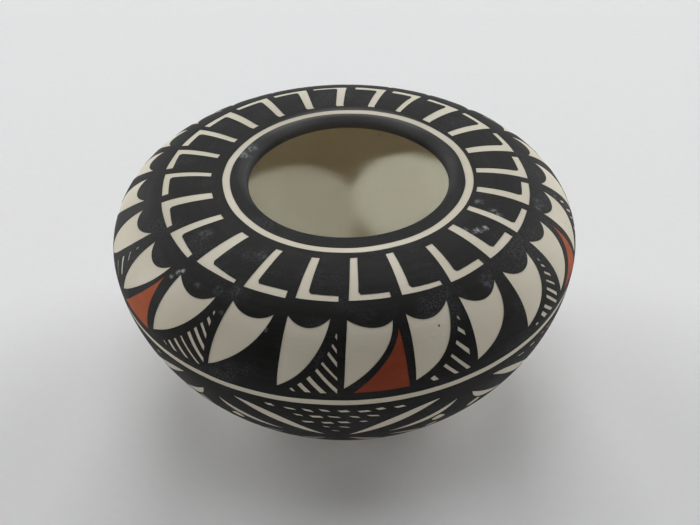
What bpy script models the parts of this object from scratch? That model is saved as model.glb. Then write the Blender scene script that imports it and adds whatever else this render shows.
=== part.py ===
"""Seed pot: a squat hand-built clay jar with a small mouth, slipped cream and painted black and rust.

The jar is one fired vessel. Its paint is a set of thin films that follow the wall: a black coat
rolled over the lip, a black net over the shoulder, a black band under the belly, and six rust
fills that sit in windows of the net. The cream of the slip shows through every window.
"""

import math

import bmesh
import bpy
import numpy as np
from mathutils import Vector
from mathutils.geometry import delaunay_2d_cdt, interpolate_bezier

MM = 0.001

# Vessel: radius and height of the points that its outer wall passes, and the pull of its curve there
LIP = Vector((26.5, 60.5)) * MM
BELLY = Vector((57.5, 45.5)) * MM
BASE = Vector((25.3, 0.0)) * MM
LIP_PULL = Vector((20.0, 2.7)) * MM
BELLY_PULL_UP = Vector((0.0, 10.0)) * MM
BELLY_PULL_DOWN = Vector((0.0, -16.5)) * MM
BASE_PULL = Vector((19.2, 9.3)) * MM
WALL = 4.8 * MM
SEGMENTS = 54
OUTER_RINGS = 14
INNER_RINGS = 9
LIP_RINGS = 5
AXIS_MERGE = 0.01 * MM

# Linear colour and roughness of the slip and of the two paints
CREAM = (0.50, 0.46, 0.38)
CREAM_ROUGHNESS = 0.75
BLACK = (0.012, 0.012, 0.011)
BLACK_ROUGHNESS = 0.75
RUST = (0.20, 0.045, 0.018)
RUST_ROUGHNESS = 0.8

# Paint films: their gap off the clay, their thickness, and the longest sides of their outlines
GAP = 0.3 * MM
FILM = 0.2 * MM
NET_EDGE = 5.5
BAND_EDGE = 7.5
CURVE_POINTS = 200
SEAM_MERGE = 0.002 * MM
POINT_MERGE = 1e-5

# Pattern points are written as degrees round from the front and millimetres down the wall from
# the lip crest. At the belly one degree is one millimetre.
RING_INNER = 1.9
RING_OUTER = 3.8
WAIST_UPPER = 40.5
WAIST_LOWER = 42.2
LIP_WRAP = 90.0
LIP_WRAP_RINGS = 4

# Shoulder net: 24 sectors, each with a tick and a feather, in repeats of four kinds of fill
REPEATS = 6
REPEAT = 360.0 / REPEATS
FILLS = ("rust", "hatch", "black", "hatch")
SECTOR = REPEAT / len(FILLS)
NET_SEAM = -1.3
TICK_TOP = 6.0
TICK_FOOT_TOP = 17.2
TICK_FOOT_BOTTOM = 18.8
TICK_LEAN = 1.2
TICK_LEFT = 0.6
TICK_WIDTH = 3.2
TICK_RIGHT = 12.8
FEATHER_TOP = 22.6
FEATHER_TIP = 37.3
FEATHER_TIP_LEFT = -0.4
FEATHER_WIDTH = 11.0
FEATHER_HORN_PULL = Vector((-1.2, 6.7))
FEATHER_TIP_PULL = Vector((6.9, -2.8))
FEATHER_POINTS = 6
SCALLOP_DEPTH = 2.8
SCALLOP_POINTS = 5
FILL_TOP = 25.3
FILL_BOTTOM = 38.4
FILL_LEFT = 1.6
FILL_RIGHT = 12.9
FILL_TOP_WIDTH = 0.4
FILL_TOP_PULL = Vector((-1.3, 4.7))
FILL_CORNER_PULL = Vector((6.8, -3.3))
FILL_POINTS = 6
SLITS = 6
SLIT_WIDTH = 0.8
SLIT_FALL = 1.15

# Belly band: six repeats of a dashed triangle between leaves, mirrored top to bottom
BAND_TURN = -2.7
BAND_MIRROR = 59.9
DASH_ROWS = (8, 5, 4, 2, 1)
DASH_TOP = 44.6
DASH_PITCH = 4.0
DASH_ROW_PITCH = 2.55
DASH_WIDTH = 2.3
DASH_HEIGHT = 1.1
DASH_LEAN = 0.5
LEAF_HIGH = Vector((23.5, 45.0))
LEAF_LOW = Vector((2.0, 58.8))
LEAF_UPPER_PULLS = (Vector((-9.5, 1.0)), Vector((4.5, -5.3)))
LEAF_LOWER_PULLS = (Vector((-6.0, 4.5)), Vector((8.0, -3.8)))
LEAF_POINTS = 5
SIDE_LEAF_HIGH = Vector((28.2, 48.0))
SIDE_LEAF_LOW = Vector((11.5, 58.5))
SIDE_LEAF_UPPER_PULLS = (Vector((-3.2, 2.8)), Vector((7.0, -3.0)))
SIDE_LEAF_LOWER_PULLS = (Vector((-1.2, 5.5)), Vector((9.5, -0.5)))
SIDE_LEAF_POINTS = 4
DROP_CENTRE = Vector((25.2, 56.8))
DROP_HALF_WIDTH = 1.8
DROP_HALF_HEIGHT = 2.4


def wall_line():
    """Outer wall as close points of radius and height, from the lip crest to the edge of the base."""
    shoulder = interpolate_bezier(LIP, LIP + LIP_PULL, BELLY + BELLY_PULL_UP, BELLY, CURVE_POINTS)
    flank = interpolate_bezier(BELLY, BELLY + BELLY_PULL_DOWN, BASE + BASE_PULL, BASE, CURVE_POINTS)
    return np.array([point[:2] for point in shoulder + flank[1:]])


WALL_LINE = wall_line()
WALL_DEPTHS = np.append(0.0, np.cumsum(np.linalg.norm(np.diff(WALL_LINE, axis=0), axis=1)))
WALL_TANGENTS = np.gradient(WALL_LINE, WALL_DEPTHS, axis=0)


def wall_at(depth):
    """Point, outward normal and downward tangent of the outer wall at a depth from the lip crest."""
    point = Vector([np.interp(depth, WALL_DEPTHS, WALL_LINE[:, axis]) for axis in range(2)])
    tangent = Vector([np.interp(depth, WALL_DEPTHS, WALL_TANGENTS[:, axis]) for axis in range(2)])
    tangent.normalize()
    return point, Vector((-tangent.y, tangent.x)), tangent


def lip_at(turn, lift=0.0):
    """Point on the rolled lip, turned in degrees from its outer crest towards the inside."""
    crest, normal, tangent = wall_at(0.0)
    angle = math.radians(turn)
    spoke = normal * math.cos(angle) - tangent * math.sin(angle)
    return crest - normal * WALL / 2 + spoke * (WALL / 2 + lift)


def on_wall(degrees, depth_mm, lift):
    """Point in space at a place of the pattern, lifted off the outer wall."""
    point, normal, _ = wall_at(depth_mm * MM)
    radius, height = point + normal * lift
    angle = math.radians(degrees)
    return Vector((radius * math.sin(angle), -radius * math.cos(angle), height))


def clay_section():
    """Section of the vessel from the floor inside, up over the lip and down to the foot."""
    wall_end = WALL_DEPTHS[-1]
    inside = []
    for depth in np.linspace(wall_end, 0.0, INNER_RINGS):
        point, normal, _ = wall_at(depth)
        inside.append(point - normal * WALL)
    lip = [lip_at(turn) for turn in np.linspace(180.0, 0.0, LIP_RINGS + 1)[1:-1]]
    outside = [wall_at(depth)[0] for depth in np.linspace(0.0, wall_end, OUTER_RINGS)]
    floor_centre = Vector((0.0, inside[0].y))
    foot_centre = Vector((0.0, outside[-1].y))
    return [floor_centre] + inside + lip + outside + [foot_centre]


def lip_coat_section():
    """Closed section of the black coat, from inside the mouth over the lip to the cream ring."""
    turns = np.linspace(LIP_WRAP, 0.0, LIP_WRAP_RINGS)
    edge, edge_normal, _ = wall_at(RING_INNER * MM)
    outer = [lip_at(turn, GAP + FILM) for turn in turns] + [edge + edge_normal * (GAP + FILM)]
    inner = [lip_at(turn, GAP) for turn in turns] + [edge + edge_normal * GAP]
    return outer + inner[::-1]


def paint(name, colour, roughness):
    """Matte material for clay, slip or mineral paint."""
    material = bpy.data.materials.new(name)
    material.use_nodes = True
    shader = material.node_tree.nodes["Principled BSDF"]
    shader.inputs["Base Color"].default_value = (*colour, 1.0)
    shader.inputs["Roughness"].default_value = roughness
    shader.inputs["Metallic"].default_value = 0.0
    return material


def add_object(name, mesh, material, parent):
    """Link a smooth-shaded object under the pot's empty."""
    mesh.shade_smooth()
    mesh.materials.append(material)
    thing = bpy.data.objects.new(name, mesh)
    thing.parent = parent
    bpy.context.collection.objects.link(thing)
    return thing


def turned(name, section, is_closed, material, parent):
    """Solid of revolution from a section of radius and height."""
    verts = [(radius, 0.0, height) for radius, height in section]
    edges = [(i, i + 1) for i in range(len(verts) - 1)]
    if is_closed:
        edges.append((len(verts) - 1, 0))
    mesh = bpy.data.meshes.new(name)
    mesh.from_pydata(verts, edges, [])
    thing = add_object(name, mesh, material, parent)
    screw = thing.modifiers.new("revolve", "SCREW")
    screw.steps = SEGMENTS
    screw.render_steps = SEGMENTS
    screw.use_merge_vertices = True
    screw.merge_threshold = AXIS_MERGE
    screw.use_smooth_shade = True
    return thing


def stepped(outline, longest):
    """Closed outline with its long sides broken up, so that a film on it can follow the wall."""
    points = []
    for start, end in zip(outline, outline[1:] + outline[:1]):
        parts = max(1, math.ceil((end - start).length / longest))
        points += [start.lerp(end, part / parts) for part in range(parts)]
    return points


def inset(outline, gap_mm):
    """Outline drawn in by a gap all round, for points that run clockwise as the wall is seen."""
    moved = []
    for before, here, after in zip(outline[-1:] + outline[:-1], outline, outline[1:] + outline[:1]):
        arriving = (here - before).normalized()
        leaving = (after - here).normalized()
        inward = arriving.orthogonal() + leaving.orthogonal()
        moved.append(here + inward * gap_mm / (1.0 + arriving.dot(leaving)))
    return moved


def middle(outline):
    """Mean of an outline's points."""
    return sum(outline, Vector((0.0, 0.0))) / len(outline)


def bezier(start, pull_start, pull_end, end, points):
    """Points of a curve through the pattern, with both ends."""
    return [point.to_2d() for point in interpolate_bezier(start, pull_start, pull_end, end, points)]


def anticlockwise(outline):
    """The outline with its points in the order that marks its inside."""
    area = sum(start.cross(end) for start, end in zip(outline, outline[1:] + outline[:1]))
    return outline if area > 0.0 else outline[::-1]


def triangulated(border, windows, loose):
    """Points and triangles of a border that is pierced by windows, with loose points inside it."""
    points = []
    faces = []
    for outline in [border] + windows:
        faces.append(list(range(len(points), len(points) + len(outline))))
        points += anticlockwise(outline)
    verts, _, triangles, _, _, owners = delaunay_2d_cdt(points + loose, [], faces, 0, POINT_MERGE)
    return verts, [triangle for triangle, owner in zip(triangles, owners) if owner == [0]]


def film(name, verts, triangles, turns, material, parent):
    """Thin coat laid over the wall, with one copy of the triangles at each turn round the pot."""
    bm = bmesh.new()
    for turn in turns:
        placed = [bm.verts.new(on_wall(turn + x, y, GAP)) for x, y in verts]
        for triangle in triangles:
            bm.faces.new([placed[i] for i in reversed(triangle)])
    bmesh.ops.remove_doubles(bm, verts=bm.verts, dist=SEAM_MERGE)
    mesh = bpy.data.meshes.new(name)
    bm.to_mesh(mesh)
    bm.free()
    thing = add_object(name, mesh, material, parent)
    solidify = thing.modifiers.new("coat", "SOLIDIFY")
    solidify.thickness = FILM
    solidify.offset = 1.0
    return thing


def band_border(left, top, bottom, longest):
    """Outline of one repeat of a band between two depths."""
    right = left + REPEAT
    corners = [Vector((left, top)), Vector((right, top)), Vector((right, bottom)), Vector((left, bottom))]
    return stepped(corners, longest)


def tick(left):
    """L-shaped tick: a leaning stroke with a foot to its right."""
    stroke = left + TICK_LEFT
    return [
        Vector((stroke + TICK_LEAN, TICK_TOP)),
        Vector((stroke + TICK_LEAN + TICK_WIDTH, TICK_TOP)),
        Vector((stroke + TICK_WIDTH, TICK_FOOT_TOP)),
        Vector((left + TICK_RIGHT, TICK_FOOT_TOP)),
        Vector((left + TICK_RIGHT, TICK_FOOT_BOTTOM)),
        Vector((stroke, TICK_FOOT_BOTTOM)),
    ]


def feather(left):
    """Feather with a scalloped top, a straight left side and a right side that sweeps to the tip."""
    horn_left = Vector((left, FEATHER_TOP))
    horn_right = Vector((left + FEATHER_WIDTH, FEATHER_TOP))
    tip = Vector((left + FEATHER_TIP_LEFT, FEATHER_TIP))
    dip = Vector((0.0, SCALLOP_DEPTH))
    third = Vector((FEATHER_WIDTH / 3, 0.0))
    scallop = bezier(horn_left, horn_left + third + dip, horn_right - third + dip, horn_right, SCALLOP_POINTS)
    horn_pull = horn_right + FEATHER_HORN_PULL
    tip_pull = tip + FEATHER_TIP_PULL
    return scallop + bezier(horn_right, horn_pull, tip_pull, tip, FEATHER_POINTS)[1:]


def fill_sweep(left, points):
    """Left side of the space beside a feather, from its top down to its lower left corner."""
    top = Vector((left + FILL_RIGHT - FILL_TOP_WIDTH, FILL_TOP))
    corner = Vector((left + FILL_LEFT, FILL_BOTTOM))
    return bezier(top, top + FILL_TOP_PULL, corner + FILL_CORNER_PULL, corner, points)


def fill(left):
    """Outline of the space beside a feather."""
    return [Vector((left + FILL_RIGHT, FILL_BOTTOM))] + fill_sweep(left, FILL_POINTS)[::-1]


def slits(left):
    """Cream slits of a hatched fill, each falling from the sweep to the right side or the bottom."""
    right = left + FILL_RIGHT
    half = Vector((SLIT_WIDTH / 2, 0.0))
    windows = []
    for start in fill_sweep(left, SLITS + 2)[1:-1]:
        run = min(right - start.x - half.x, (FILL_BOTTOM - start.y) / SLIT_FALL)
        end = start + Vector((run, run * SLIT_FALL))
        windows.append([start - half, start + half, end + half, end - half])
    return windows


def net_windows():
    """Windows of one repeat of the shoulder net, and the loose points of its solid fill."""
    windows = []
    loose = []
    for index, kind in enumerate(FILLS):
        left = index * SECTOR
        windows += [stepped(tick(left), NET_EDGE), stepped(feather(left), NET_EDGE)]
        if kind == "rust":
            windows.append(stepped(fill(left), NET_EDGE))
        elif kind == "hatch":
            windows += [stepped(slit, NET_EDGE) for slit in slits(left)]
        else:
            outline = stepped(fill(left), NET_EDGE)
            loose += outline + [middle(outline)]
    return windows, loose


def lens(high, low, upper_pulls, lower_pulls, points):
    """Pointed leaf between two tips, with the pulls of its upper and its lower side."""
    upper = bezier(high, high + upper_pulls[0], low + upper_pulls[1], low, points)
    lower = bezier(low, low + lower_pulls[1], high + lower_pulls[0], high, points)
    return upper[:-1] + lower[:-1]


def side_shapes():
    """Leaves and drop on the right of a dashed triangle."""
    leaf = lens(LEAF_HIGH, LEAF_LOW, LEAF_UPPER_PULLS, LEAF_LOWER_PULLS, LEAF_POINTS)
    side_leaf = lens(
        SIDE_LEAF_HIGH, SIDE_LEAF_LOW, SIDE_LEAF_UPPER_PULLS, SIDE_LEAF_LOWER_PULLS, SIDE_LEAF_POINTS,
    )
    across = Vector((DROP_HALF_WIDTH, 0.0))
    down = Vector((0.0, DROP_HALF_HEIGHT))
    drop = [DROP_CENTRE - across, DROP_CENTRE - down, DROP_CENTRE + across, DROP_CENTRE + down]
    return [leaf, side_leaf, drop]


def dash_centres(row):
    """Centres of the dashes in one row of the triangle."""
    count = DASH_ROWS[row]
    depth = DASH_TOP + row * DASH_ROW_PITCH
    return [Vector(((index - (count - 1) / 2) * DASH_PITCH, depth)) for index in range(count)]


def dash(centre):
    """Short dash that slants to the right as it falls."""
    half = Vector((DASH_WIDTH / 2, 0.0))
    drop = Vector((DASH_LEAN / 2, DASH_HEIGHT / 2))
    return [centre - half - drop, centre + half - drop, centre + half + drop, centre - half + drop]


def mirrored(outline):
    """Outline turned upside down about the middle of the belly band."""
    return [Vector((x, 2 * BAND_MIRROR - y)) for x, y in outline]


def band_windows():
    """Windows of one repeat of the belly band, and the loose points of its lower, solid triangle."""
    windows = [dash(centre) for row in range(len(DASH_ROWS)) for centre in dash_centres(row)]
    for shape in side_shapes():
        for side in (1.0, -1.0):
            outline = stepped([Vector((side * x, y)) for x, y in shape], BAND_EDGE)
            windows += [outline, mirrored(outline)]
    loose = mirrored(dash_centres(0) + dash_centres(2))
    return windows, loose


def build():
    """Make the vessel and its coats of paint."""
    cream = paint("cream_slip", CREAM, CREAM_ROUGHNESS)
    black = paint("black_paint", BLACK, BLACK_ROUGHNESS)
    rust = paint("rust_paint", RUST, RUST_ROUGHNESS)

    pot = bpy.data.objects.new("seed_pot", None)
    bpy.context.collection.objects.link(pot)

    turned("clay_vessel", clay_section(), False, cream, pot)
    turned("lip_coat", lip_coat_section(), True, black, pot)

    turns = [index * REPEAT for index in range(REPEATS)]
    windows, loose = net_windows()
    net = triangulated(band_border(NET_SEAM, RING_OUTER, WAIST_UPPER, NET_EDGE), windows, loose)
    film("shoulder_net", *net, turns, black, pot)

    band_bottom = 2 * BAND_MIRROR - WAIST_LOWER
    windows, loose = band_windows()
    border = band_border(-REPEAT / 2, WAIST_LOWER, band_bottom, BAND_EDGE)
    band = triangulated(border, windows, loose)
    film("belly_band", *band, [turn + BAND_TURN for turn in turns], black, pot)

    rust_outline = inset(stepped(fill(0.0), NET_EDGE), GAP / MM)
    rust_fill = triangulated(rust_outline, [], [middle(rust_outline)])
    for index, turn in enumerate(turns):
        film(f"rust_fill_{index + 1}", *rust_fill, [turn], rust, pot)


for old in list(bpy.data.objects):
    bpy.data.objects.remove(old)
build()
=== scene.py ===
import math
import random

import bmesh
import bpy
import numpy as np
from mathutils import Matrix, Vector, noise
from mathutils.geometry import delaunay_2d_cdt, interpolate_bezier


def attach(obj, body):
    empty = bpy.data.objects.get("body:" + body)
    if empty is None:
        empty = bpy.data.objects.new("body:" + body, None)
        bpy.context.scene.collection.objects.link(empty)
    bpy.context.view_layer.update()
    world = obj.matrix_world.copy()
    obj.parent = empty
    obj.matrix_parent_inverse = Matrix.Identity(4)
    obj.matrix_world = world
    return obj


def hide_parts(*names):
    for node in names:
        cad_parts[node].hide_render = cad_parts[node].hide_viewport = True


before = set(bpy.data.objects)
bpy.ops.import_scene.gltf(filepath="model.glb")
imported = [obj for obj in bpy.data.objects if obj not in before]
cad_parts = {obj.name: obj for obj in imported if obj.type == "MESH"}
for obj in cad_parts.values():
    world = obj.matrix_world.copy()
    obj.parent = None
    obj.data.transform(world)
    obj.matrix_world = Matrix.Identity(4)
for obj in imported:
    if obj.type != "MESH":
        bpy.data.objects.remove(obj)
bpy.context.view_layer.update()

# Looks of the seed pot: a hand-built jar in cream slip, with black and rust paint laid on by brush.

MM = 0.001
ROUND = 360.0

# Vessel: radius and height of the points that its outer wall passes, and the pull of its curve there
LIP = Vector((26.5, 60.5)) * MM
BELLY = Vector((57.5, 45.5)) * MM
BASE = Vector((25.3, 0.0)) * MM
LIP_PULL = Vector((20.0, 2.7)) * MM
BELLY_PULL_UP = Vector((0.0, 10.0)) * MM
BELLY_PULL_DOWN = Vector((0.0, -16.5)) * MM
BASE_PULL = Vector((19.2, 9.3)) * MM
WALL = 4.4 * MM
SEGMENTS = 200
RING_PITCH = 0.9 * MM
CURVE_POINTS = 300
LIP_POINTS = 75

# Swell of the hand-smoothed wall: its height, where it fades at both ends, and its waves, each with its
# share, its count round the pot, how far down the wall it turns by a radian, and where it starts
SWELL = 0.12 * MM
SWELL_FADE = 8.0 * MM
SWELL_WAVES = (
    (1.0, 2, math.inf, 0.6),
    (0.7, 3, -11.0 * MM, 0.0),
    (0.5, 5, 7.0 * MM, 1.9),
)
# The mouth sits off the axis: how far, and the share of it at some depths in millimetres
MOUTH_SHIFT = Vector((1.25, 1.2)) * MM
MOUTH_SHIFT_DEPTHS = (-14.0, -4.0, -0.5, 1.9, 3.8, 6.0)
MOUTH_SHIFT_SIDE = (0.0, 1.0, 1.0, 1.0, 1.0, 0.0)
MOUTH_SHIFT_BACK = (0.0, 1.0, 1.0, 0.0, 0.0, 0.0)
# The lip is pressed thinner at the back: how far, the share of it at some depths in millimetres, and
# how closely the press keeps to the back
LIP_PRESS = 0.95 * MM
LIP_PRESS_DEPTHS = (-12.0, -6.0, -3.5, -1.0, 0.5)
LIP_PRESS_SHARES = (0.0, 1.0, 1.0, 0.35, 0.0)
LIP_PRESS_FOCUS = 3

# Coats: how far each stands off the wall, how thick they are, the angle from which their edges are sharp,
# and how near points lie that merge where two repeats meet
BLACK_LIFT = 0.09 * MM
RUST_LIFT = 0.06 * MM
LINING_LIFT = 0.06 * MM
COAT = 0.16 * MM
COAT_EDGE = math.radians(50.0)
SEAM_MERGE = 0.002 * MM

# Pattern points are written as degrees round from the front and millimetres down the wall from
# the lip crest; a negative depth is over the lip. At the belly one degree is one millimetre.

# Meshing: the pitch of a grid and its distance from the first and the last side of a border, the pitch of
# an outline, the gap at which points merge, and the kind of triangulation, which fills the whole hull
GRID_PITCH = 1.2
GRID_START = GRID_PITCH / 2
GRID_END = GRID_PITCH / 3
OUTLINE_PITCH = 0.8
POINT_GAP = 1e-4
WHOLE_HULL = 0
# What keeps an inset from running away at a sharp corner, and the rows and columns of the lip's coat
MITRE_LIMIT = 0.3
LIP_ROWS = 16
LIP_COLUMNS = 40

# Bands: where the coats begin and end, and how the pattern repeats
LIP_COAT_END = -5.4
LINING_TOP = -5.1
RING_INNER = 2.1
RING_OUTER = 4.05
WAIST_UPPER = 40.6
WAIST_LOWER = 42.3
BAND_MIRROR = 59.9
REPEATS = 6
REPEAT = ROUND / REPEATS
FILLS = ("rust", "hatch", "black", "hatch")
SECTORS = REPEATS * len(FILLS)
SECTOR = ROUND / SECTORS
NET_SEAM = -1.3
BAND_TURN = -2.7

# The painter's spacing: how far each sector of the shoulder starts from an even division, in degrees
STEADY = (0.0,) * SECTORS
SECTOR_DRIFT = (
    0.2, -0.5, -0.9, -0.8, -0.9, -1.9, -2.8, -2.6, -2.3, -1.2, -0.5, -2.1,
    -2.7, -2.4, -2.3, -2.3, -2.2, -3.5, -4.0, -3.7, -2.8, -1.9, 0.8, 0.8,
)
# How far the bands slide down the wall on the right of the pot and up on the left, with a little turn,
# and how far they slide down at the back, at some depths
SLIDE_DEPTHS = (-6.0, 2.0, 6.0, 18.0, 30.0, 41.0, 60.0, 78.0)
SIDE_SLIDES = (0.0, -0.2, 0.13, 0.25, -0.1, -0.85, -0.5, -0.2)
BACK_SLIDES = (0.0, -0.1, -0.6, -0.9, -0.4, 0.0, 0.0, 0.0)
SLIDE_TURN = 0.15
# The unsteady brush: how far it strays over which distance, and the draws that it takes its misses from
WOBBLE = 0.16
WOBBLE_PITCH = 7.0
BRUSH_SEED = 24
BRUSH = random.Random(BRUSH_SEED)
noise.seed_set(BRUSH_SEED)

# Ticks: places of the stroke and its foot, how far the brush may miss each, and the inner corner's cut
TICK_STROKE, TICK_STROKE_MISS = 0.6, (-0.2, 0.2)
TICK_TOP, TICK_TOP_MISS = 6.0, (-0.15, 0.2)
TICK_HEEL, TICK_HEEL_MISS = 16.95, (-0.3, 0.25)
TICK_TOE, TICK_TOE_MISS = 12.8, (-0.4, 0.4)
TICK_SOLE, TICK_SOLE_MISS = 18.65, (-0.15, 0.2)
TICK_LEANS = (0.4, 1.4)
TICK_TOP_TILTS = (-0.1, 0.1)
TICK_HEEL_TILTS = (-0.4, 0.3)
TICK_SOLE_TILTS = (-0.15, 0.15)
TICK_CORNER_RUN = 0.6
TICK_CORNER_RISE = 0.7
# Width of each sector's stroke, and the ticks that start low, stand high or have a falling foot; a foot
# falls by one amount on its upper and one on its lower side
TICK_WIDTHS = (
    2.9, 3.1, 3.2, 3.9, 3.4, 4.0, 3.4, 4.1, 3.5, 4.0, 2.9, 3.3,
    3.4, 3.6, 3.3, 3.7, 3.4, 3.2, 2.8, 4.0, 3.3, 3.8, 3.0, 3.3,
)
TICK_LOW_TOPS = {2: 7.4}
TICK_RAISED_FEET = {0: 0.35, 1: 0.15, 18: 0.7, 19: 0.3, 23: 0.3}
TICK_TOE_FALLS = {19: (1.1, 0.4), 20: (1.15, 0.5), 21: (0.95, 0.1)}

# Feathers: places of the two horns and the tip, the dip between the horns, how far the brush may miss
# each, and the pulls and points of the scalloped top and of the right side
FEATHER_LEFT_HORN = (0.1, 22.5)
FEATHER_RIGHT_HORN = (11.2, 22.6)
FEATHER_TIP = (-0.4, 37.3)
FEATHER_DIP = 3.2
LEFT_HORN_MISS = (-0.4, 0.4)
RIGHT_HORN_SIDE_MISS = (-0.3, 0.5)
RIGHT_HORN_MISS = (-0.6, 0.5)
TIP_MISS = (-0.3, 0.3)
DIP_MISS = (-0.3, 0.4)
SCALLOP_PULL = 3.4
HORN_PULL = (-1.2, 6.7)
TIP_PULL = (6.9, -2.8)
SCALLOP_POINTS = 16
FEATHER_POINTS = 20
# How full each feather's right side is drawn, and the feathers that differ at a horn, the top or the tip
FEATHER_FULLNESS = (
    0.58, 0.98, 1.0, 1.0, 0.98, 0.96, 0.95, 0.92, 0.95, 0.9, 0.92, 0.95,
    0.9, 0.92, 0.88, 0.9, 0.92, 0.88, 0.86, 0.84, 0.62, 0.72, 0.68, 0.79,
)
FEATHER_LOW_HORNS = {0: 0.7, 2: 0.4, 20: 0.5, 21: 1.1, 22: 0.3}
FEATHER_SHALLOW_TOPS = {0: 1.55, 22: 0.5, 23: 0.3}
FEATHER_TIP_MOVES = {
    0: (-0.5, 0.0), 1: (0.35, 0.0), 20: (0.0, -1.2), 21: (-0.5, 0.0), 22: (-0.9, 0.0),
}

# Fills beside the feathers: top, lower left corner and right side, the pulls and points of the left side,
# the fills that are moved or wider, and the gap, an overlap, between a rust coat and its window
FILL_TOP = (12.5, 25.3)
FILL_CORNER = (1.6, 38.4)
FILL_RIGHT = 12.9
FILL_TOP_PULL = (-1.3, 4.7)
FILL_CORNER_PULL = (6.8, -3.3)
FILL_POINTS = 16
FILL_SHIFTS = {20: -0.9}
FILL_WIDER = {0: 0.55}
RUST_UNDERLAP = -0.35

# Hatches: the count of slits in each hatched sector, the corner that they fall to, the points of the sweep
# that they start from, their places and half widths as shares of it, and how steeply they fall and widen
HATCH_SLITS = {1: 6, 3: 9, 5: 7, 7: 8, 9: 7, 11: 8, 13: 8, 15: 7, 17: 7, 19: 6, 21: 9, 23: 8}
HATCH_CORNER = (12.7, 38.6)
HATCH_POINTS = 200
SLIT_START, SLIT_MISS = 0.42, (-0.12, 0.12)
SLIT_HALVES = (0.014, 0.029)
SLIT_FALL, SLIT_FALL_MISS = 1.12, (-0.08, 0.08)
SLIT_WIDENING = (-0.04, 0.08)
SLIT_CORNER_GAP = 0.3

# Belly band, right of a dashed triangle's middle: leaf, side leaf and drop, each with its high and low
# tip, how far these may be missed, and the pulls at both tips of its upper and of its lower side
SIDE_SHAPES = (
    ((23.5, 45.0), (2.0, 58.8), 0.4, 0.3, ((-9.5, 1.0), (4.5, -5.3)), ((-6.0, 4.5), (8.0, -3.8))),
    ((28.2, 48.0), (11.5, 58.5), 0.4, 0.4, ((-3.2, 2.8), (7.0, -3.0)), ((-1.2, 5.5), (9.5, -0.5))),
    ((25.0, 54.4), (25.4, 59.2), 0.3, 0.3, ((2.4, 1.6), (2.4, -1.2)), ((-2.4, 1.6), (-2.4, -1.2))),
)
SIDE_SHAPE_POINTS = 16
# Dashes: how many in each row, their places, and the size and slant of one
DASH_ROWS = (8, 5, 4, 2, 1)
DASH_PITCH = 4.0
DASH_TOP = 44.7
DASH_ROW_PITCH = 2.55
DASH_MISS = 0.3
DASH_HALF_LENGTHS = (0.8, 1.4)
DASH_TILTS = (-0.1, 0.25)
DASH_HALF_WIDTHS = (0.34, 0.5)
DASH_SLANT = 0.5

# Materials: a noise is its scale and detail, strokes are their scale round and across the pot and their
# detail, and a ramp is the two levels that it runs between, with what it gives there if not 0 and 1.
# A node that mixes colours is known by the numbers of its sockets.
MIX_FACTOR = 0
MIX_FIRST = 6
MIX_SECOND = 7
MIX_RESULT = 2

# Slip: light, warm and dark tone outside and inside, the inside's tones painted lighter than the outside's
# to stand in for light inside the mouth, and its clouds, rubbed lines, grain and specks
SLIP_TONES = ((0.57, 0.535, 0.435, 1.0), (0.52, 0.48, 0.375, 1.0), (0.24, 0.18, 0.12, 1.0))
LIGHTENED_LINING_TONES = ((0.70, 0.635, 0.475, 1.0), (0.645, 0.57, 0.41, 1.0), (0.31, 0.24, 0.155, 1.0))
SLIP_CLOUDS = (38.0, 4.0)
SLIP_CLOUD_RAMP = (0.35, 0.7)
SLIP_LINES = (30.0, 900.0, 2.0)
SLIP_LINE_RAMP = (0.55, 0.85, 0.0, 0.25)
SLIP_LINE_HEIGHT = 1.6
SLIP_GRAIN = (1300.0, 2.0)
SLIP_SPECKS = (520.0, 1.0)
SLIP_SPECK_RAMP = (0.78, 0.84, 0.0, 0.5)
SLIP_ROUGHNESS = (0.4, 1.4, 0.52, 0.68)
SLIP_GLOSS = 0.4
RELIEF = 0.03 * MM
# A drop of black that fell on a feather: its place on the wall, its soft edge and its tone
FALLEN_DROP = (21.5, 26.8)
FALLEN_DROP_EDGE = (0.28 * MM, 0.16 * MM)
FALLEN_DROP_TONE = (0.01, 0.01, 0.01, 1.0)

# Black paint: deep and thin tone, brush lines, clouds, powder, and the dust that lies in the clouds
BLACK_TONES = ((0.005, 0.005, 0.0045, 1.0), (0.009, 0.009, 0.0085, 1.0))
BLACK_LINES = (60.0, 700.0, 3.0)
BLACK_LINE_RAMP = (0.3, 0.75)
BLACK_CLOUDS = (95.0, 4.0)
BLACK_POWDER = (2600.0, 4.0)
BLACK_GRAIN = (1500.0, 2.0)
BLACK_ROUGHNESS = (0.3, 0.7, 0.56, 0.68)
BLACK_GLOSS = 0.13
DUST_TONE = (0.05, 0.052, 0.055, 1.0)
DUST_CLOUD_RAMP = (0.44, 0.74)
DUST_POWDER_RAMP = (0.35, 0.7)
DUST_SHARE = 0.85
# Painted sheen on the rim: a greyer black, standing in for light caught by the lip, lies in a circle a
# little behind the mouth's centre, and is palest at the back, where it paints the far lip as more brightly
# lit
SHEEN_RIM_CENTRE = Vector((1.25, 4.0)) * MM
SHEEN_RIM_EDGE = (28.0 * MM, 25.5 * MM)
SHEEN_BACK_RAMP = (16.0 * MM, 25.0 * MM)
RIM_SHEEN_TONES = ((0.036, 0.037, 0.037, 1.0), (0.10, 0.10, 0.10, 1.0))
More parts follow.
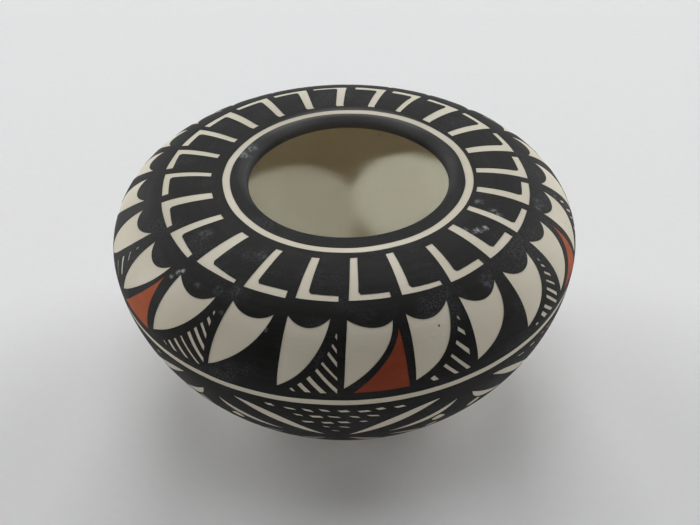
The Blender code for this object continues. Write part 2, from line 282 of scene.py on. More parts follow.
# Rubbed places on the black: their chalky tone and patches, and for each one its place on the wall in
# degrees and millimetres, its radius in millimetres and its strength
SCUFF_TONE = (0.30, 0.31, 0.33, 1.0)
SCUFF_PATCHES = (900.0, 3.0)
SCUFF_PATCH_RAMP = (0.42, 0.60, 0.12, 1.0)
SCUFF_POWDER_RAMP = (0.25, 0.65, 0.25, 1.0)
SCUFFS = (
    (-118.0, 0.7, 1.8, 0.9), (-114.5, 0.8, 1.8, 0.9), (-109.0, 0.9, 2.2, 0.9),
    (52.3, 11.8, 1.3, 1.8), (54.3, 12.4, 1.2, 1.6), (50.5, 11.1, 1.2, 1.1),
    (49.5, 9.3, 1.0, 0.6), (63.0, 12.5, 1.1, 1.6), (64.3, 11.5, 1.7, 0.6),
    (63.3, 13.5, 1.3, 0.6), (68.0, 7.5, 1.7, 0.7), (-47.8, 22.7, 1.0, 1.8),
    (-47.0, 22.0, 0.9, 1.8), (-48.8, 24.3, 0.8, 1.8), (38.7, 22.4, 2.6, 0.25),
    (-53.8, 12.1, 2.6, 0.25), (-29.8, 20.0, 1.6, 0.25), (-29.8, 9.3, 2.4, 0.18),
    (76.8, 21.1, 2.0, 0.3), (74.0, 20.9, 1.4, 0.35), (-34.3, 21.5, 1.6, 0.25),
    (-40.5, 22.7, 1.2, 0.2), (-18.5, 26.3, 0.7, 0.6), (-30.5, 25.7, 0.8, 0.5),
)

# Rust paint: thick and thin tone, strokes, clouds, and the place on the wall where it lies thickest
RUST_TONES = ((0.19, 0.036, 0.014, 1.0), (0.35, 0.088, 0.035, 1.0))
RUST_LINES = (150.0, 260.0, 3.0)
RUST_CLOUDS = (160.0, 4.0)
RUST_GRAIN = (1400.0, 2.0)
RUST_THICKEST = (8.0, 34.0)
RUST_THINNING = (10.0 * MM, 60.0 * MM, 0.0, 0.35)
RUST_RAMP = (0.4, 1.0)
RUST_ROUGHNESS = (0.3, 0.7, 0.75, 0.85)
RUST_GLOSS = 0.18

# Floor: a flat disc that bends up into a round wall, in metres, and the paper that it is made of
FLOOR_FLAT = 5.5
FLOOR_BEND = 1.5
FLOOR_WALL = 6.0
FLOOR_SEGMENTS = 64
FLOOR_BEND_RINGS = 12
PAPER_TONES = ((0.745, 0.75, 0.755, 1.0), (0.78, 0.785, 0.79, 1.0))
PAPER_FIBRE = (400.0, 3.0)
PAPER_ROUGHNESS = (0.0, 1.0, 0.8, 0.9)
PAPER_RELIEF = 0.01 * MM
PAPER_GLOSS = 0.0

# Light: square boxes that face the pot, each with its place and side in metres and its power in watts
LIGHT_TARGET = (0.0, 0.0, 0.03)
SOFTBOXES = (
    ("softbox_back", (0.0, 4.0, 3.4), 2.6, 91.0),
    ("softbox_top", (0.0, 0.6, 5.2), 3.0, 57.0),
    ("softbox_left", (-3.8, 3.0, 2.4), 3.0, 118.0),
    ("softbox_right", (3.8, 3.0, 2.4), 3.0, 136.0),
)
WINDOWS = (
    ("window_left", (-4.5, 1.5, 0.6), 1.0, 4.6),
    ("window_right", (4.5, 1.5, 0.6), 1.0, 3.8),
)
WINDOW_SPREAD = math.radians(50.0)
FRONT_FILL = ("front_fill", (0.0, -4.0, 0.8), 2.0, 5.0)
FRONT_TINT = (1.0, 0.5, 0.42)
# The two round pools that fall through the mouth: degrees to the side and above the floor, and watts
POOLS = (("pool_left", -36.3, 41.2, 69.0), ("pool_right", 31.8, 47.0, 47.0))
POOL_CENTRE = Vector((1.0, 0.0, 58.0)) * MM
POOL_DISTANCE = 700.0 * MM
POOL_RADIUS = 42.0 * MM
POOL_SOURCE = 80.0 * MM
POOL_TINT = (0.82, 0.92, 1.0)
# The room's own paleness
ROOM_TONE = (1.0, 0.97, 0.94, 1.0)
ROOM_LIGHT = 0.02

# Camera, as the photograph's view of the pot gives it: place, angles in radians and focal length
CAMERA_PLACE = Vector((0.0, -181.83, 185.28)) * MM
CAMERA_PITCH = 0.69845
CAMERA_YAW = 0.00745
CAMERA_ROLL = -0.01422
CAMERA_NEAR = 10.0 * MM
FOCAL_PIXELS = 900.0
IMAGE_WIDTH = 700.0
SENSOR = 36.0


def section_line():
    """Wall section as close points of radius and height, from the floor inside to the foot's edge."""
    shoulder = interpolate_bezier(LIP, LIP + LIP_PULL, BELLY + BELLY_PULL_UP, BELLY, CURVE_POINTS)
    flank = interpolate_bezier(BELLY, BELLY + BELLY_PULL_DOWN, BASE + BASE_PULL, BASE, CURVE_POINTS)
    outside = np.array([point[:2] for point in shoulder + flank[1:]])
    tangents = np.gradient(outside, axis=0)
    tangents /= np.linalg.norm(tangents, axis=1)[:, None]
    normals = np.column_stack((-tangents[:, 1], tangents[:, 0]))
    inside = (outside - normals * WALL)[::-1]
    turns = np.linspace(math.pi, 0.0, LIP_POINTS)[1:-1, None]
    centre = outside[0] - normals[0] * WALL / 2
    lip = centre + (normals[0] * np.cos(turns) - tangents[0] * np.sin(turns)) * WALL / 2
    line = np.concatenate((inside, lip, outside))
    lengths = np.append(0.0, np.cumsum(np.linalg.norm(np.diff(line, axis=0), axis=1)))
    return line, lengths - lengths[len(inside) + len(lip)]


SECTION, DEPTHS = section_line()
TANGENTS = np.gradient(SECTION, DEPTHS, axis=0)


def to_back(angles):
    """Share that grows from none at the front of the pot to all at its back."""
    return (1.0 - np.cos(angles)) / 2


def swell(angles, depths):
    """Rise and fall of the hand-smoothed wall, with the press on the lip, in metres."""
    waves = 0.0
    for share, count, turn, start in SWELL_WAVES:
        waves = waves + share * np.sin(count * angles + depths / turn + start)
    waves /= sum(wave[0] for wave in SWELL_WAVES)
    ends = np.minimum(depths - DEPTHS[0], DEPTHS[-1] - depths)
    press = LIP_PRESS * np.interp(depths / MM, LIP_PRESS_DEPTHS, LIP_PRESS_SHARES)
    press *= to_back(angles) ** LIP_PRESS_FOCUS
    return SWELL * waves * np.clip(ends / SWELL_FADE, 0.0, 1.0) - press


def on_wall(degrees, depths_mm, lift):
    """Points in space at places of the pattern, lifted off the wall."""
    angles = np.radians(degrees)
    depths = np.asarray(depths_mm) * MM
    radius, height = (np.interp(depths, DEPTHS, SECTION[:, axis]) for axis in range(2))
    across, down = (np.interp(depths, DEPTHS, TANGENTS[:, axis]) for axis in range(2))
    rise = lift + swell(angles, depths)
    radius = radius - down * rise
    height = height + across * rise
    side = radius * np.sin(angles)
    side += MOUTH_SHIFT.x * np.interp(depths / MM, MOUTH_SHIFT_DEPTHS, MOUTH_SHIFT_SIDE)
    back = MOUTH_SHIFT.y * np.interp(depths / MM, MOUTH_SHIFT_DEPTHS, MOUTH_SHIFT_BACK)
    back -= radius * np.cos(angles)
    return np.column_stack((side, back, height))


def warped(degrees, depths_mm, drift):
    """The even pattern as the hand laid it: uneven sectors, bands that slide and an unsteady brush."""
    degrees = np.asarray(degrees, float)
    depths_mm = np.asarray(depths_mm, float)
    starts = np.arange(SECTORS + 1) * SECTOR
    drifts = np.array(drift + drift[:1])
    moved = degrees + np.interp(degrees % ROUND, starts, drifts)
    angles = np.radians(moved)
    slid = depths_mm + np.interp(depths_mm, SLIDE_DEPTHS, SIDE_SLIDES) * np.sin(angles - SLIDE_TURN)
    slid += np.interp(depths_mm, SLIDE_DEPTHS, BACK_SLIDES) * to_back(angles)
    places = on_wall(moved, slid, 0.0) / (WOBBLE_PITCH * MM)
    shakes = np.array([noise.noise_vector(Vector(place)) for place in places])
    return moved + WOBBLE * shakes[:, 0], slid + WOBBLE * shakes[:, 1]


def dress(name, mesh, material, node):
    """Link a piece, let it ride with the pot, and let it stand for its CAD node."""
    mesh.shade_smooth()
    mesh.materials.append(material)
    piece = bpy.data.objects.new(name, mesh)
    bpy.context.collection.objects.link(piece)
    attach(piece, "root")
    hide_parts(node)
    return piece


def ring_faces(rings, segments):
    """Four-sided faces between closed rings of points."""
    faces = []
    for low in range(0, (rings - 1) * segments, segments):
        for i in range(segments):
            j = (i + 1) % segments
            faces.append((low + i, low + segments + i, low + segments + j, low + j))
    return faces


def revolved(first, last, lift):
    """Rings of points round the pot between two depths in metres."""
    angles = np.arange(SEGMENTS) * ROUND / SEGMENTS
    depths = np.linspace(first, last, round((last - first) / RING_PITCH)) / MM
    return [on_wall(angles, np.full(SEGMENTS, depth), lift) for depth in depths]


def revolved_mesh(name, rings, footed):
    """Mesh of a turned form, its first ring closed by a floor, and its last by a foot if it has one."""
    faces = ring_faces(len(rings), SEGMENTS)
    centres = [rings[0].mean(axis=0)]
    if footed:
        centres.append(rings[-1].mean(axis=0))
    floor = len(rings) * SEGMENTS
    last = floor - SEGMENTS
    for i in range(SEGMENTS):
        j = (i + 1) % SEGMENTS
        faces.append((floor, i, j))
        if footed:
            faces.append((floor + 1, last + j, last + i))
    mesh = bpy.data.meshes.new(name)
    mesh.from_pydata(np.vstack(rings + centres).tolist(), [], faces)
    return mesh


def stepped(outline):
    """Closed outline with its sides broken up, so that it can follow the wall and the brush."""
    points = []
    for start, end in zip(outline, outline[1:] + outline[:1]):
        parts = max(1, math.ceil((end - start).length / OUTLINE_PITCH))
        points += [start.lerp(end, part / parts) for part in range(parts)]
    return points


def inset(outline, gap):
    """Outline drawn in by a gap all round, or let out by a negative one."""
    moved = []
    for before, here, after in zip(outline[-1:] + outline[:-1], outline, outline[1:] + outline[:1]):
        arriving = (here - before).normalized()
        leaving = (after - here).normalized()
        inward = arriving.orthogonal() + leaving.orthogonal()
        moved.append(here + inward * gap / max(MITRE_LIMIT, 1.0 + arriving.dot(leaving)))
    return moved


def bezier(start, pull_start, pull_end, end, points):
    """Points of a curve through the pattern, with both ends."""
    return [point.to_2d() for point in interpolate_bezier(start, pull_start, pull_end, end, points)]


def anticlockwise(outline):
    """The outline with its points in the order that marks its inside."""
    area = sum(start.cross(end) for start, end in zip(outline, outline[1:] + outline[:1]))
    return outline if area > 0.0 else outline[::-1]


def triangulated(border, windows):
    """Points and triangles of a border that is pierced by windows, on a fine grid."""
    xs = [point.x for point in border]
    ys = [point.y for point in border]
    points = []
    faces = []
    for outline in [border] + windows:
        faces.append(list(range(len(points), len(points) + len(outline))))
        points += anticlockwise(outline)
    for x in np.arange(min(xs) + GRID_START, max(xs) - GRID_END, GRID_PITCH):
        for y in np.arange(min(ys) + GRID_START, max(ys) - GRID_END, GRID_PITCH):
            points.append(Vector((x, y)))
    verts, _, triangles, _, _, owners = delaunay_2d_cdt(points, [], faces, WHOLE_HULL, POINT_GAP)
    return verts, [triangle for triangle, owner in zip(triangles, owners) if owner == [0]]


def coat_mesh(name, tiles, lift, drift):
    """Coat of paint laid over the wall from tiles of points and triangles that meet at their seams."""
    bm = bmesh.new()
    for verts, triangles in tiles:
        used = sorted({i for triangle in triangles for i in triangle})
        degrees, depths_mm = warped([verts[i].x for i in used], [verts[i].y for i in used], drift)
        placed = dict(zip(used, map(bm.verts.new, on_wall(degrees, depths_mm, lift))))
        for triangle in triangles:
            bm.faces.new([placed[i] for i in reversed(triangle)])
    bmesh.ops.remove_doubles(bm, verts=bm.verts, dist=SEAM_MERGE)
    mesh = bpy.data.meshes.new(name)
    bm.to_mesh(mesh)
    bm.free()
    return mesh


def thicken(piece):
    """Give a coat its thickness, down into the slip."""
    solidify = piece.modifiers.new("coat", "SOLIDIFY")
    solidify.thickness = COAT
    solidify.offset = -1.0
    thick = piece.evaluated_get(bpy.context.evaluated_depsgraph_get())
    solid = bpy.data.meshes.new_from_object(thick)
    solid.set_sharp_from_angle(angle=COAT_EDGE)
    solid.name = piece.name
    piece.modifiers.clear()
    piece.data = solid


def band_border(left, top, bottom):
    """Outline of one repeat of a band between two depths."""
    right = left + REPEAT
    corners = ((left, top), (right, top), (right, bottom), (left, bottom))
    return stepped([Vector(corner) for corner in corners])


def sector_at(left):
    """Number of the sector that starts at an angle."""
    return round(left / SECTOR) % SECTORS


def missed(place, limits):
    """A place that the brush misses by a little, between two limits."""
    return place + BRUSH.uniform(*limits)


def shaken(point, amount):
    """A point that the brush misses by a little, either way."""
    return Vector(point) + Vector((BRUSH.uniform(-amount, amount), BRUSH.uniform(-amount, amount)))


def tick(left):
    """L-shaped tick: a leaning stroke with a foot to its right."""
    sector = sector_at(left)
    raised = TICK_RAISED_FEET.get(sector, 0.0)
    upper_fall, lower_fall = TICK_TOE_FALLS.get(sector, (0.0, 0.0))
    width = TICK_WIDTHS[sector]
    stroke = missed(left + TICK_STROKE, TICK_STROKE_MISS)
    crown = stroke + BRUSH.uniform(*TICK_LEANS)
    top = missed(TICK_LOW_TOPS.get(sector, TICK_TOP), TICK_TOP_MISS)
    heel = missed(TICK_HEEL, TICK_HEEL_MISS) - raised
    toe = missed(left + TICK_TOE, TICK_TOE_MISS)
    sole = missed(TICK_SOLE, TICK_SOLE_MISS) - raised
    return [
        Vector((crown, top)),
        Vector((crown + width, missed(top, TICK_TOP_TILTS))),
        Vector((stroke + width, heel - TICK_CORNER_RISE)),
        Vector((stroke + width + TICK_CORNER_RUN, heel)),
        Vector((toe, missed(heel, TICK_HEEL_TILTS) + upper_fall)),
        Vector((toe, sole + lower_fall)),
        Vector((stroke, missed(sole, TICK_SOLE_TILTS))),
    ]


def feather(left):
    """Feather with a scalloped top, a straight left side and a right side that sweeps to the tip."""
    sector = sector_at(left)
    side, depth = FEATHER_LEFT_HORN
    left_horn = Vector((left + side, missed(depth, LEFT_HORN_MISS)))
    side, depth = FEATHER_RIGHT_HORN
    right_horn = Vector((missed(left + side, RIGHT_HORN_SIDE_MISS), missed(depth, RIGHT_HORN_MISS)))
    right_horn.y += FEATHER_LOW_HORNS.get(sector, 0.0)
    side, depth = FEATHER_TIP
    tip = Vector((left + side, missed(depth, TIP_MISS)))
    tip += Vector(FEATHER_TIP_MOVES.get(sector, (0.0, 0.0)))
    dip = missed(FEATHER_DIP, DIP_MISS) - FEATHER_SHALLOW_TOPS.get(sector, 0.0)
    left_pull = left_horn + Vector((SCALLOP_PULL, dip))
    right_pull = right_horn + Vector((-SCALLOP_PULL, dip))
    scallop = bezier(left_horn, left_pull, right_pull, right_horn, SCALLOP_POINTS)
    tip_pull = tip + Vector((TIP_PULL[0] * FEATHER_FULLNESS[sector], TIP_PULL[1]))
    sweep = bezier(right_horn, right_horn + Vector(HORN_PULL), tip_pull, tip, FEATHER_POINTS)
    return scallop + sweep[1:]


def fill_sweep(left, points):
    """Left side of the space beside a feather, from its top down to its lower left corner."""
    sector = sector_at(left)
    top = Vector((left + FILL_TOP[0], FILL_TOP[1]))
    corner = Vector((left + FILL_CORNER[0] - FILL_WIDER.get(sector, 0.0), FILL_CORNER[1]))
    corner_pull = corner + Vector((FILL_CORNER_PULL[0] * FEATHER_FULLNESS[sector], FILL_CORNER_PULL[1]))
    return bezier(top, top + Vector(FILL_TOP_PULL), corner_pull, corner, points)


def fill(left):
    """Outline of the space beside a feather."""
    sector = sector_at(left)
    left += FILL_SHIFTS.get(sector, 0.0)
    right = left + FILL_RIGHT + FILL_WIDER.get(sector, 0.0)
    return [Vector((right, FILL_CORNER[1]))] + fill_sweep(left, FILL_POINTS)[::-1]


def fall_to_edge(start, fall, corner):
    """Where a hatch line from the sweep meets the right side or the bottom of its fill."""
    run = min(corner.x - start.x, (corner.y - start.y) / fall)
    return start + Vector((run, run * fall))


def slits(left):
    """Cream slits of a hatched fill, each falling from the sweep to the right side or the bottom."""
    sweep = fill_sweep(left, HATCH_POINTS)
    last = HATCH_POINTS - 1
    corner = Vector((left + HATCH_CORNER[0], HATCH_CORNER[1]))
    inner = corner - Vector((SLIT_CORNER_GAP, SLIT_CORNER_GAP))
    count = HATCH_SLITS[sector_at(left)]
    windows = []
    for index in range(count):
        middle = missed(index + SLIT_START, SLIT_MISS) / count
        half = BRUSH.uniform(*SLIT_HALVES)
        fall = missed(SLIT_FALL, SLIT_FALL_MISS)
        upper = sweep[int((middle - half) * last)]
        lower = sweep[min(last, int((middle + half) * last))]
        upper_end = fall_to_edge(upper, fall, corner)
        lower_end = fall_to_edge(lower, missed(fall, SLIT_WIDENING), corner)
        turned = [corner] if upper_end.y < inner.y and lower_end.x < inner.x else []
        windows.append([upper, upper_end] + turned + [lower_end, lower])
    return windows


def net_tile(repeat):
    """One repeat of the shoulder net: ticks, feathers and the four kinds of fill."""
    windows = []
    for index, kind in enumerate(FILLS):
        left = repeat * REPEAT + index * SECTOR
        windows += [tick(left), feather(left)]
        if kind == "rust":
            windows.append(fill(left))
        elif kind == "hatch":
            windows += slits(left)
    border = band_border(repeat * REPEAT + NET_SEAM, RING_OUTER, WAIST_UPPER)
    return triangulated(border, [stepped(window) for window in windows])


def rust_tile(repeat):
    """A rust fill, a little larger than the window that shows it."""
    return triangulated(inset(stepped(fill(repeat * REPEAT)), RUST_UNDERLAP), [])


def lip_tile(repeat):
    """One repeat of the black coat that is rolled over the lip, in rows fine enough for its curve."""
    verts = []
    for depth in np.linspace(LIP_COAT_END, RING_INNER, LIP_ROWS + 1):
        for turn in np.linspace(repeat, repeat + 1, LIP_COLUMNS + 1):
            verts.append(Vector((turn * REPEAT, depth)))
    faces = []
    for row in range(LIP_ROWS):
        for column in range(LIP_COLUMNS):
            corner = row * (LIP_COLUMNS + 1) + column
            below = corner + LIP_COLUMNS + 1
            faces.append((corner, corner + 1, below + 1, below))
    return verts, faces


def side_shapes():
    """Leaves and drop on the right of a dashed triangle, pointed at both tips."""
    shapes = []
    for high, low, high_miss, low_miss, upper_pulls, lower_pulls in SIDE_SHAPES:
        high = shaken(high, high_miss)
        low = shaken(low, low_miss)
        upper_high, upper_low = (Vector(pull) for pull in upper_pulls)
        lower_high, lower_low = (Vector(pull) for pull in lower_pulls)
        upper = bezier(high, high + upper_high, low + upper_low, low, SIDE_SHAPE_POINTS)
        lower = bezier(low, low + lower_low, high + lower_high, high, SIDE_SHAPE_POINTS)
        shapes.append(upper[:-1] + lower[:-1])
    return shapes


def dashes():
    """Rows of short slanted dashes, fewer in each row down the triangle."""
    windows = []
    for row, count in enumerate(DASH_ROWS):
        for index in range(count):
            side = (index - (count - 1) / 2) * DASH_PITCH
            centre = shaken((side, DASH_TOP + row * DASH_ROW_PITCH), DASH_MISS)
            half = Vector((BRUSH.uniform(*DASH_HALF_LENGTHS), BRUSH.uniform(*DASH_TILTS)))
            drop = Vector((DASH_SLANT, BRUSH.uniform(*DASH_HALF_WIDTHS)))
            upper = [centre - half - drop, centre + half - drop]
            windows.append(upper + [centre + half + drop, centre - half + drop])
    return windows


def band_tile(repeat):
    """One repeat of the belly band, its shapes mirrored left to right and top to bottom."""
    windows = []
    for flip in (1.0, -1.0):
        shapes = dashes()
        for side in (1.0, -1.0):
            shapes += [[Vector((side * x, y)) for x, y in shape] for shape in side_shapes()]
        for shape in shapes:
            windows.append([Vector((x, BAND_MIRROR + flip * (y - BAND_MIRROR))) for x, y in shape])
    turn = Vector((repeat * REPEAT + BAND_TURN, 0.0))
    windows = [[point + turn for point in stepped(window)] for window in windows]
    border = band_border(turn.x - REPEAT / 2, WAIST_LOWER, 2 * BAND_MIRROR - WAIST_LOWER)
    return triangulated(border, windows)


class Shader:
    """A material's node tree, with short calls for the nodes that the clay and paints need."""

    def __init__(self, name):
        self.material = bpy.data.materials.new(name)
        self.material.use_nodes = True
        self.tree = self.material.node_tree
        self.surface = self.tree.nodes["Principled BSDF"]
        self.place = self.add("ShaderNodeTexCoord", output="Object")

    def add(self, kind, inputs=(), output=0, **settings):
        """Add a node, set or link its inputs by name or number, and give one of its outputs."""
        node = self.tree.nodes.new(kind)
        for key, value in settings.items():
            setattr(node, key, value)
        for key, value in dict(inputs).items():
            if isinstance(value, bpy.types.NodeSocket):
                self.tree.links.new(value, node.inputs[key])
            else:
                node.inputs[key].default_value = value
        return node.outputs[output]

    def math(self, operation, first, second):
        """Sum, product or the like of two values."""
        return self.add("ShaderNodeMath", {0: first, 1: second}, operation=operation)

    def noise(self, vector, scale, detail):
        """Cloudy noise."""
        return self.add("ShaderNodeTexNoise", {"Vector": vector, "Scale": scale, "Detail": detail})

    def ramp(self, value, low, high, start=0.0, end=1.0):
        """Value stretched from low..high to start..end, with a smooth step."""
        keys = {"Value": value, "From Min": low, "From Max": high, "To Min": start, "To Max": end}
        return self.add("ShaderNodeMapRange", keys, interpolation_type="SMOOTHSTEP")

    def blend(self, factor, first, second):
        """Mix of two colours."""
        inputs = {MIX_FACTOR: factor, MIX_FIRST: first, MIX_SECOND: second}
        return self.add("ShaderNodeMix", inputs, MIX_RESULT, data_type="RGBA")

    def distance(self, first, second):
        """Distance between two points."""
        return self.add("ShaderNodeVectorMath", {0: first, 1: second}, "Value", operation="DISTANCE")

    def away(self, degrees, depth_mm):
        """Distance from a place on the wall."""
        spot = on_wall(np.array([degrees]), np.array([depth_mm]), 0.0)[0]
        return self.distance(self.place, tuple(spot))

    def parts(self):
        """The place's three coordinates."""
        split = self.tree.nodes.new("ShaderNodeSeparateXYZ")
        self.tree.links.new(self.place, split.inputs[0])
        return split.outputs

    def reach(self, centre):
        """Distance from an upright axis."""
        side, back, _ = self.parts()
        flat = self.add("ShaderNodeCombineXYZ", {0: side, 1: back})
        return self.distance(flat, (*centre, 0.0))

    def strokes(self, round_scale, across_scale, detail):
        """Noise that runs slowly round the pot and fast across its bands, for brush and rubbed lines."""
        side, back, height = self.parts()
        across = self.math("SUBTRACT", self.reach((0.0, 0.0)), height)
        keys = {
            0: self.math("MULTIPLY", side, round_scale),
            1: self.math("MULTIPLY", back, round_scale),
            2: self.math("MULTIPLY", across, across_scale),
        }
        return self.noise(self.add("ShaderNodeCombineXYZ", keys), 1.0, detail)

    def finish(self, colour, roughness, height, depth, gloss):
        """Wire the surface up; depth is the bump's height in metres."""
        self.tree.links.new(colour, self.surface.inputs["Base Color"])
        self.tree.links.new(roughness, self.surface.inputs["Roughness"])
        self.surface.inputs["Specular IOR Level"].default_value = gloss
        bump = self.add("ShaderNodeBump", {"Height": height, "Strength": 1.0, "Distance": depth})
        self.tree.links.new(bump, self.surface.inputs["Normal"])
        return self.material


def slip_material(name, light, warm, dark):
    """Burnished slip: cloudy tone, fine rubbed lines round the pot and a few dark specks."""
    shader = Shader(name)
    clouds = shader.ramp(shader.noise(shader.place, *SLIP_CLOUDS), *SLIP_CLOUD_RAMP)
    lines = shader.strokes(*SLIP_LINES)
    grain = shader.noise(shader.place, *SLIP_GRAIN)
    specks = shader.noise(shader.place, *SLIP_SPECKS)
    tone = shader.blend(clouds, light, warm)
    tone = shader.blend(shader.ramp(lines, *SLIP_LINE_RAMP), tone, warm)
    tone = shader.blend(shader.ramp(specks, *SLIP_SPECK_RAMP), tone, dark)
    drop = shader.ramp(shader.away(*FALLEN_DROP), *FALLEN_DROP_EDGE)
    tone = shader.blend(drop, tone, FALLEN_DROP_TONE)
    roughness = shader.ramp(shader.math("ADD", grain, clouds), *SLIP_ROUGHNESS)
    height = shader.math("ADD", grain, shader.math("MULTIPLY", lines, SLIP_LINE_HEIGHT))
    return shader.finish(tone, roughness, height, RELIEF, SLIP_GLOSS)


def scuff_mask(shader, powder):
    """How far the black is rubbed down to a chalky grey."""
    total = 0.0
    for degrees, depth_mm, radius_mm, strength in SCUFFS:
        worn = shader.ramp(shader.away(degrees, depth_mm), radius_mm * MM, 0.0, 0.0, strength)
        total = shader.math("MAXIMUM", total, worn)
    patches = shader.ramp(shader.noise(shader.place, *SCUFF_PATCHES), *SCUFF_PATCH_RAMP)
    flakes = shader.math("MULTIPLY", patches, shader.ramp(powder, *SCUFF_POWDER_RAMP))
    return shader.math("MULTIPLY", total, flakes)


def black_material():
    """Black mineral paint: brush lines, chalky dust, a painted sheen on the rim that is palest at the
    back, and rubbed places.
    """
    shader = Shader("black_mineral_paint")
    lines = shader.strokes(*BLACK_LINES)
    clouds = shader.noise(shader.place, *BLACK_CLOUDS)
    powder = shader.noise(shader.place, *BLACK_POWDER)
    grain = shader.noise(shader.place, *BLACK_GRAIN)
    tone = shader.blend(shader.ramp(lines, *BLACK_LINE_RAMP), *BLACK_TONES)
    dusty = shader.ramp(clouds, *DUST_CLOUD_RAMP)
    dust = shader.math("MULTIPLY", dusty, shader.ramp(powder, *DUST_POWDER_RAMP))
    tone = shader.blend(shader.math("MULTIPLY", dust, DUST_SHARE), tone, DUST_TONE)
    # Painted sheen: the lip's black is made grey, and paler towards the back, to stand in for light that
    # the lip catches
    rim_sheen = shader.ramp(shader.reach(SHEEN_RIM_CENTRE), *SHEEN_RIM_EDGE)
    painted_sheen = shader.blend(shader.ramp(shader.parts()[1], *SHEEN_BACK_RAMP), *RIM_SHEEN_TONES)
    tone = shader.blend(rim_sheen, tone, painted_sheen)
    tone = shader.blend(scuff_mask(shader, powder), tone, SCUFF_TONE)
    roughness = shader.ramp(clouds, *BLACK_ROUGHNESS)
    return shader.finish(tone, roughness, shader.math("ADD", grain, lines), RELIEF, BLACK_GLOSS)


def rust_material():
    """Rust clay paint, laid on in uneven strokes and thinner away from the front."""
    shader = Shader("rust_clay_paint")
    lines = shader.strokes(*RUST_LINES)
    clouds = shader.noise(shader.place, *RUST_CLOUDS)
    grain = shader.noise(shader.place, *RUST_GRAIN)
    mixed = shader.math("DIVIDE", shader.math("ADD", lines, clouds), 2.0)
    thinning = shader.ramp(shader.away(*RUST_THICKEST), *RUST_THINNING)
    tone = shader.blend(shader.ramp(shader.math("ADD", thinning, mixed), *RUST_RAMP), *RUST_TONES)
    roughness = shader.ramp(clouds, *RUST_ROUGHNESS)
    return shader.finish(tone, roughness, grain, RELIEF, RUST_GLOSS)


def make_pot():
    """The vessel and its coats, each standing for its CAD node; gives the wash inside."""
    slip = slip_material("cream_slip", *SLIP_TONES)
    # The lining is a lighter copy of the slip: painted light for the inside of the mouth
    lightened_lining_slip = slip_material("lightened_lining_slip", *LIGHTENED_LINING_TONES)
    black = black_material()
    rust = rust_material()

    jar = revolved_mesh("vessel", revolved(DEPTHS[0], DEPTHS[-1], 0.0), True)
    dress("vessel", jar, slip, "clay_vessel")
    wash = revolved_mesh("lining", revolved(DEPTHS[0], LINING_TOP * MM, LINING_LIFT), False)
    lining = dress("lining", wash, lightened_lining_slip, "clay_vessel")
    thicken(lining)

    turns = range(REPEATS)
    lip = coat_mesh("lip_paint", [lip_tile(repeat) for repeat in turns], BLACK_LIFT, STEADY)
    thicken(dress("lip_paint", lip, black, "lip_coat"))
    net = coat_mesh("shoulder_paint", [net_tile(repeat) for repeat in turns], BLACK_LIFT, SECTOR_DRIFT)
    thicken(dress("shoulder_paint", net, black, "shoulder_net"))
    band = coat_mesh("belly_paint", [band_tile(repeat) for repeat in turns], BLACK_LIFT, STEADY)
    thicken(dress("belly_paint", band, black, "belly_band"))
    for repeat in turns:
        name = f"rust_patch_{repeat + 1}"
        patch = coat_mesh(name, [rust_tile(repeat)], RUST_LIFT, SECTOR_DRIFT)
        thicken(dress(name, patch, rust, f"rust_fill_{repeat + 1}"))
    return lining


def paper_material():
    """Pale paper with a fine fibre."""
    shader = Shader("pale_paper")
    fibre = shader.noise(shader.place, *PAPER_FIBRE)
    tone = shader.blend(fibre, *PAPER_TONES)
    roughness = shader.ramp(fibre, *PAPER_ROUGHNESS)
    return shader.finish(tone, roughness, fibre, PAPER_RELIEF, PAPER_GLOSS)


def make_floor():
    """Paper sweep round the pot."""
    rings = []
    for bend in np.linspace(0.0, math.pi / 2, FLOOR_BEND_RINGS):
        rings.append((FLOOR_FLAT + FLOOR_BEND * math.sin(bend), FLOOR_BEND * (1 - math.cos(bend))))
    rings.append((FLOOR_FLAT + FLOOR_BEND, FLOOR_WALL))
    verts = []
    for reach, rise in rings:
        for turn in np.arange(FLOOR_SEGMENTS) * 2 * math.pi / FLOOR_SEGMENTS:
            verts.append((reach * math.cos(turn), reach * math.sin(turn), rise))
    faces = [tuple(range(FLOOR_SEGMENTS))] + ring_faces(len(rings), FLOOR_SEGMENTS)
    mesh = bpy.data.meshes.new("floor")
    mesh.from_pydata(verts, [], faces)
    mesh.shade_smooth()
    mesh.materials.append(paper_material())
    floor = bpy.data.objects.new("floor", mesh)
    bpy.context.collection.objects.link(floor)


def aim(thing, place, target):
    """Put a lamp in its place, facing a target."""
    thing.location = place
    thing.rotation_euler = (Vector(target) - Vector(place)).to_track_quat("-Z", "Y").to_euler()
    bpy.context.collection.objects.link(thing)


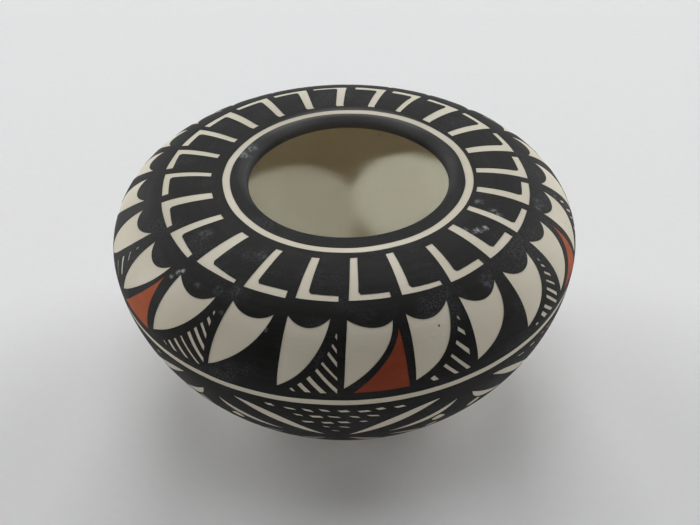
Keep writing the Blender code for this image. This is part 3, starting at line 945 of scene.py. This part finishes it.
def add_pool(name, side_degrees, rise_degrees, power, inside):
    """Soft round pool of light through the mouth, from the front and to one side, for the inside alone."""
    side, rise = math.radians(side_degrees), math.radians(rise_degrees)
    way = Vector((math.sin(side) * math.cos(rise), -math.cos(side) * math.cos(rise), math.sin(rise)))
    lamp = bpy.data.lights.new(name, "SPOT")
    lamp.energy = power
    lamp.color = POOL_TINT
    lamp.shadow_soft_size = POOL_SOURCE
    lamp.spot_size = 2.0 * math.atan(POOL_RADIUS / POOL_DISTANCE)
    lamp.spot_blend = 1.0
    pool = bpy.data.objects.new(name, lamp)
    aim(pool, POOL_CENTRE + way * POOL_DISTANCE, POOL_CENTRE)
    pool.light_linking.receiver_collection = inside


def add_softbox(name, place, size, power):
    """Square soft box that faces the pot."""
    lamp = bpy.data.lights.new(name, "AREA")
    lamp.size = size
    lamp.energy = power
    aim(bpy.data.objects.new(name, lamp), place, LIGHT_TARGET)
    return lamp


def make_light(inside):
    """Soft boxes and windows at the back, a weak fill in front, two pools in the mouth, a pale room."""
    for softbox in SOFTBOXES:
        add_softbox(*softbox)
    for window in WINDOWS:
        add_softbox(*window).spread = WINDOW_SPREAD
    add_softbox(*FRONT_FILL).color = FRONT_TINT
    lit = bpy.data.collections.new("inside")
    lit.objects.link(inside)
    for pool in POOLS:
        add_pool(*pool, lit)
    world = bpy.data.worlds.new("pale_room")
    world.use_nodes = True
    background = world.node_tree.nodes["Background"]
    background.inputs["Color"].default_value = ROOM_TONE
    background.inputs["Strength"].default_value = ROOM_LIGHT
    bpy.context.scene.world = world


def make_camera():
    """Camera at the photograph's place."""
    forward = Vector((
        math.sin(CAMERA_YAW) * math.cos(CAMERA_PITCH),
        math.cos(CAMERA_YAW) * math.cos(CAMERA_PITCH),
        -math.sin(CAMERA_PITCH),
    ))
    level = forward.cross(Vector((0.0, 0.0, 1.0))).normalized()
    upright = level.cross(forward)
    right = level * math.cos(CAMERA_ROLL) + upright * math.sin(CAMERA_ROLL)
    up = upright * math.cos(CAMERA_ROLL) - level * math.sin(CAMERA_ROLL)
    optics = bpy.data.cameras.new("camera")
    optics.sensor_fit = "HORIZONTAL"
    optics.sensor_width = SENSOR
    optics.lens = FOCAL_PIXELS / IMAGE_WIDTH * SENSOR
    optics.clip_start = CAMERA_NEAR
    camera = bpy.data.objects.new("camera", optics)
    turn = Matrix((right, up, -forward)).transposed().to_4x4()
    camera.matrix_world = Matrix.Translation(CAMERA_PLACE) @ turn
    bpy.context.collection.objects.link(camera)
    bpy.context.scene.camera = camera


lining = make_pot()
make_floor()
make_light(lining)
make_camera()
bpy.context.scene.view_settings.view_transform = "Standard"

bpy.context.view_layer.update()
